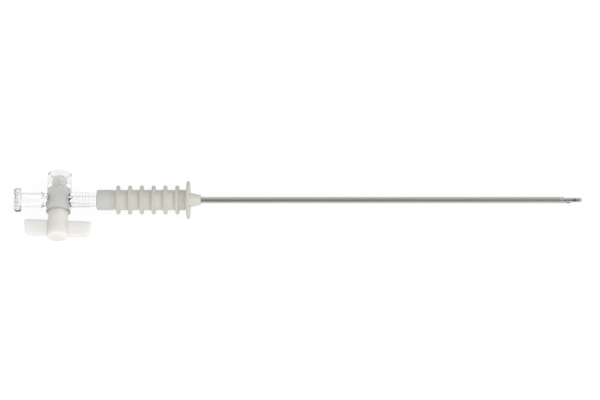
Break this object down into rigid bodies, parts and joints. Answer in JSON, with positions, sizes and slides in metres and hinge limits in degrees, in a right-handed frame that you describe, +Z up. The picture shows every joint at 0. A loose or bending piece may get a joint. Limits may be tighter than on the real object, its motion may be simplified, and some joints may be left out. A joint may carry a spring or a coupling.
{
  "type": "veress needle",
  "caption": "Long thin hollow needle with a blunt sprung stylet inside, a ribbed grip, and a clear stopcock with a luer lock port and a winged handle.",
  "frame": {"origin": "on the needle's axis at the nose tip, where the working length begins", "axes": "+X along the needle towards its point, +Z up, stopcock barrel along Y with its handle at -Y"},
  "size_m": [0.1843, 0.0226, 0.0122],
  "materials": {
    "grip_plastic": "fine satin moulding",
    "cap_plastic": "satin moulding",
    "needle_steel": "drawn and ground stainless steel",
    "stylet_steel": "drawn stainless steel",
    "spring_steel": "spring wire",
    "seal_rubber": "silicone",
    "clear_plastic": "clear polycarbonate",
    "milky_plastic": "milky polyethylene"
  },
  "bodies": {
    "grip": {"grip_body": "grip_plastic", "rear_cap": "cap_plastic", "outer_cannula": "needle_steel", "seal_ring": "seal_rubber", "seal_retainer": "cap_plastic", "compression_spring": "spring_steel"},
    "stylet": {"stylet_tube": "stylet_steel", "stylet_tip": "stylet_steel", "stylet_hub": "clear_plastic", "spring_seat": "cap_plastic", "stopcock_body": "clear_plastic"},
    "handle": {"stopcock_handle": "milky_plastic"}
  },
  "joints": [
    {"name": "stylet_slide", "type": "slide", "parent": "grip", "child": "stylet", "axis": [-1, 0, 0], "range_m": [0, 0.005], "stiffness_N_per_m": 300, "springref_m": -0.004, "deforming": ["compression_spring"]},
    {"name": "handle_turn", "type": "hinge", "parent": "stylet", "child": "handle", "pos_m": [-0.0463, 0, 0], "axis": [0, 1, 0], "continuous": true}
  ]
}
